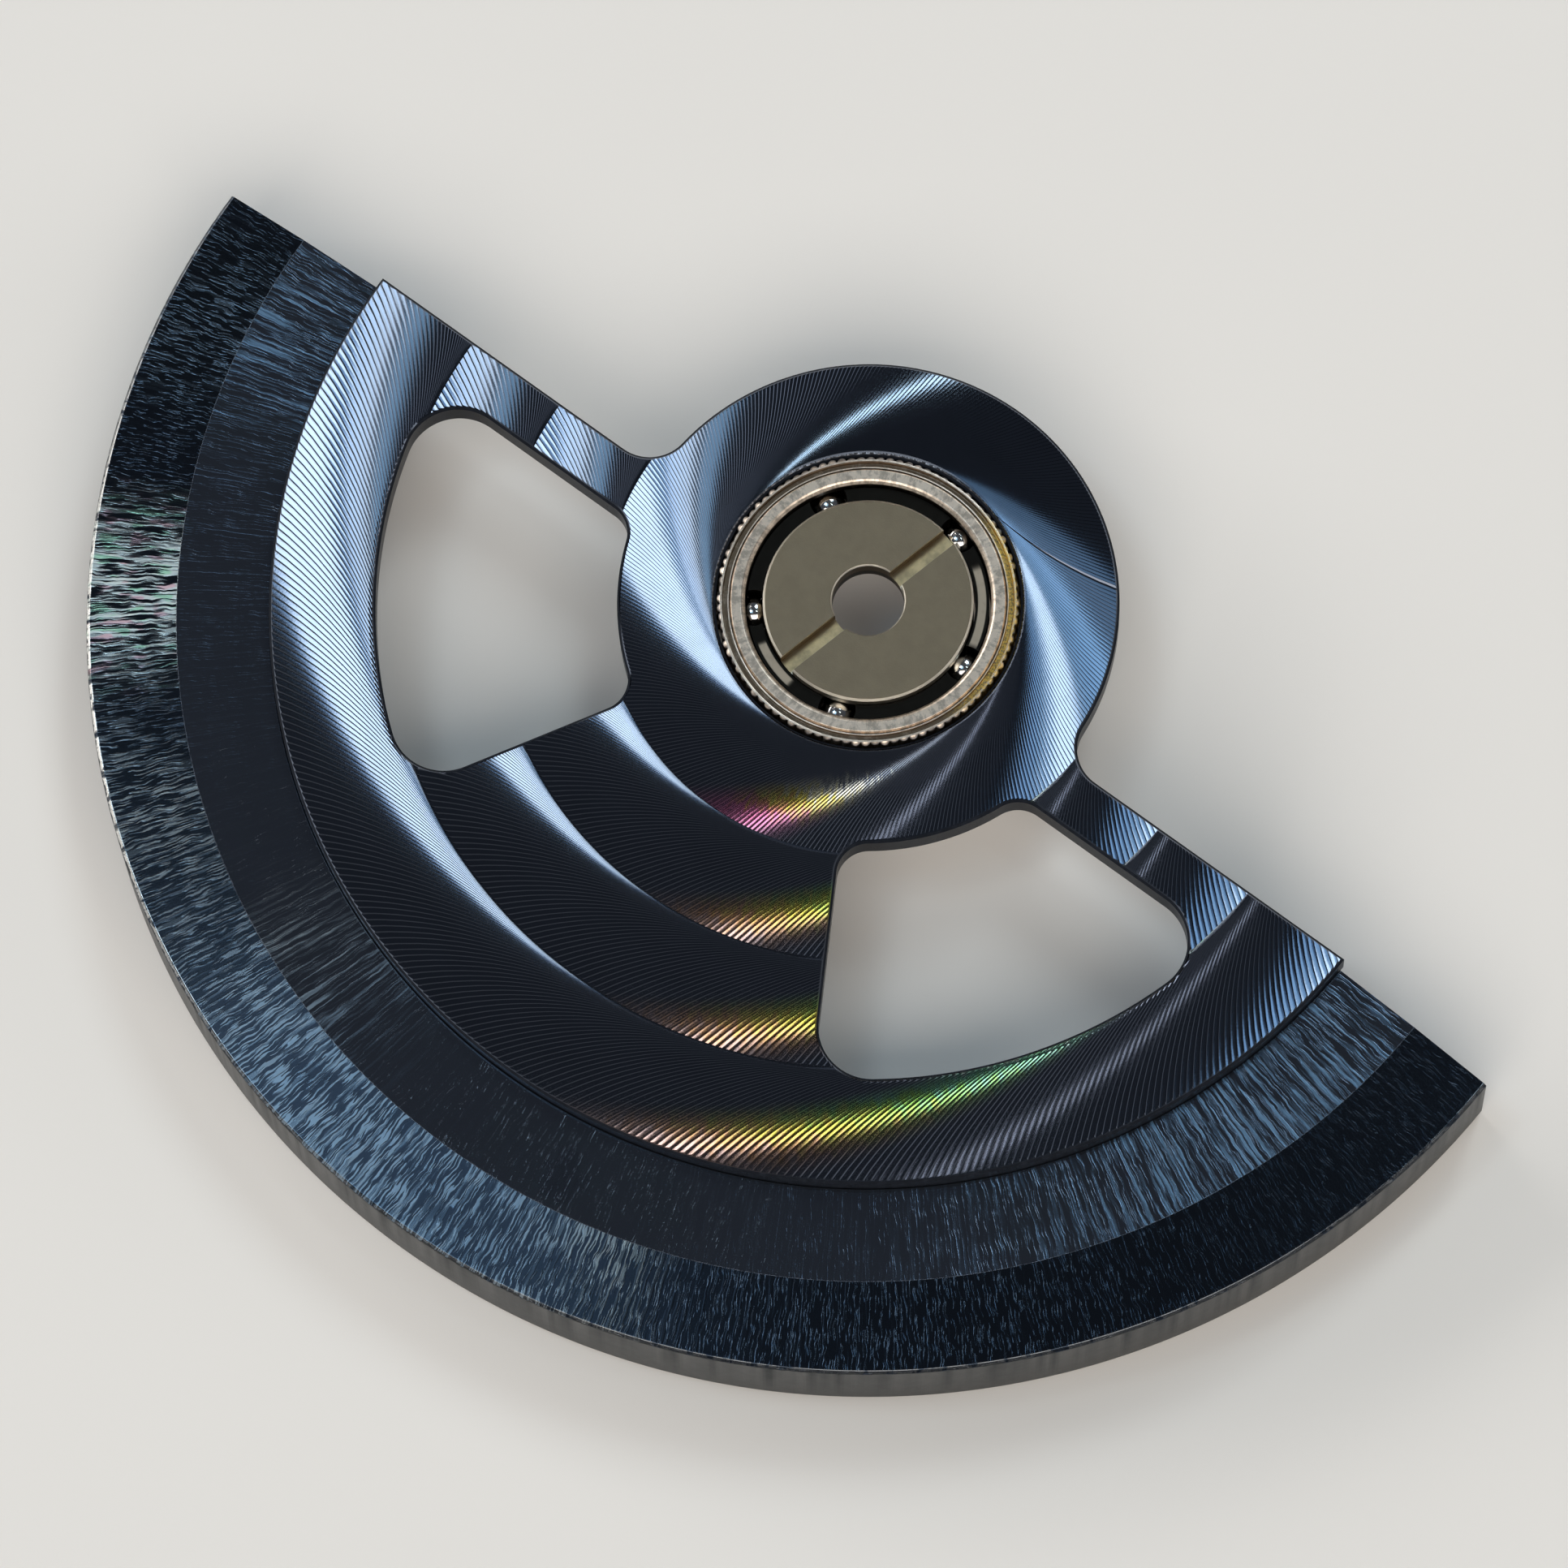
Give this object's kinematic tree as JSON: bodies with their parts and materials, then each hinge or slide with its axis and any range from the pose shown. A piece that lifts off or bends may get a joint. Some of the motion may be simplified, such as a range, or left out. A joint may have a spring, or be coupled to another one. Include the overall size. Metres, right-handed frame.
{
  "type": "automatic watch rotor",
  "caption": "Half-moon winding weight on a windowed plate that turns on an open ball bearing with a slotted core, over a hidden drive gear.",
  "frame": {"origin": "bearing axis, at the face of the core that seats on the movement's post", "axes": "+Z along the bearing axis, away from the movement; the weight lies towards -Y; +X runs along the plate's straight edge"},
  "size_m": [0.025, 0.0165, 0.0022],
  "materials": {
    "weight_metal": "blue-black coating, brushed radially, with a bare grey side",
    "plate_metal": "blue-black coating over circular striping",
    "collar_metal": "knurled and turned, warm grey",
    "race_metal": "turned and polished",
    "gear_metal": "satin",
    "cage_metal": "satin",
    "core_metal": "fine matt",
    "ball_steel": "polished"
  },
  "bodies": {
    "bearing_core": {"slotted_core": "core_metal", "lower_cone": "race_metal"},
    "rotor": {"heavy_segment": "weight_metal", "web_plate": "plate_metal", "knurled_collar": "collar_metal", "outer_race": "race_metal", "drive_gear": "gear_metal"},
    "cage": {"ball_cage": "cage_metal"},
    "ball_1": {"ball_1": "ball_steel"},
    "ball_2": {"ball_2": "ball_steel"},
    "ball_3": {"ball_3": "ball_steel"},
    "ball_4": {"ball_4": "ball_steel"},
    "ball_5": {"ball_5": "ball_steel"}
  },
  "joints": [
    {"name": "rotor_spin", "type": "hinge", "parent": "bearing_core", "child": "rotor", "pos_m": [0, 0, 0.0011], "axis": [0, 0, 1], "continuous": true},
    {"name": "cage_spin", "type": "hinge", "parent": "bearing_core", "child": "cage", "pos_m": [0, 0, 0.0011], "axis": [0, 0, 1], "continuous": true},
    {"name": "ball_1_spin", "type": "hinge", "parent": "cage", "child": "ball_1", "pos_m": [0.00183, 0.0001, 0.0011], "axis": [0, 0, 1], "continuous": true},
    {"name": "ball_2_spin", "type": "hinge", "parent": "cage", "child": "ball_2", "pos_m": [0.00047, 0.00177, 0.0011], "axis": [0, 0, 1], "continuous": true},
    {"name": "ball_3_spin", "type": "hinge", "parent": "cage", "child": "ball_3", "pos_m": [-0.00153, 0.001, 0.0011], "axis": [0, 0, 1], "continuous": true},
    {"name": "ball_4_spin", "type": "hinge", "parent": "cage", "child": "ball_4", "pos_m": [-0.00142, -0.00115, 0.0011], "axis": [0, 0, 1], "continuous": true},
    {"name": "ball_5_spin", "type": "hinge", "parent": "cage", "child": "ball_5", "pos_m": [0.00066, -0.00171, 0.0011], "axis": [0, 0, 1], "continuous": true}
  ],
  "couplings": [
    {"joint": "cage_spin", "follows": "rotor_spin", "ratio": 0.5541},
    {"joint": "ball_1_spin", "follows": "rotor_spin", "ratio": 4.5674},
    {"joint": "ball_2_spin", "follows": "rotor_spin", "ratio": 4.5674},
    {"joint": "ball_3_spin", "follows": "rotor_spin", "ratio": 4.5674},
    {"joint": "ball_4_spin", "follows": "rotor_spin", "ratio": 4.5674},
    {"joint": "ball_5_spin", "follows": "rotor_spin", "ratio": 4.5674}
  ]
}
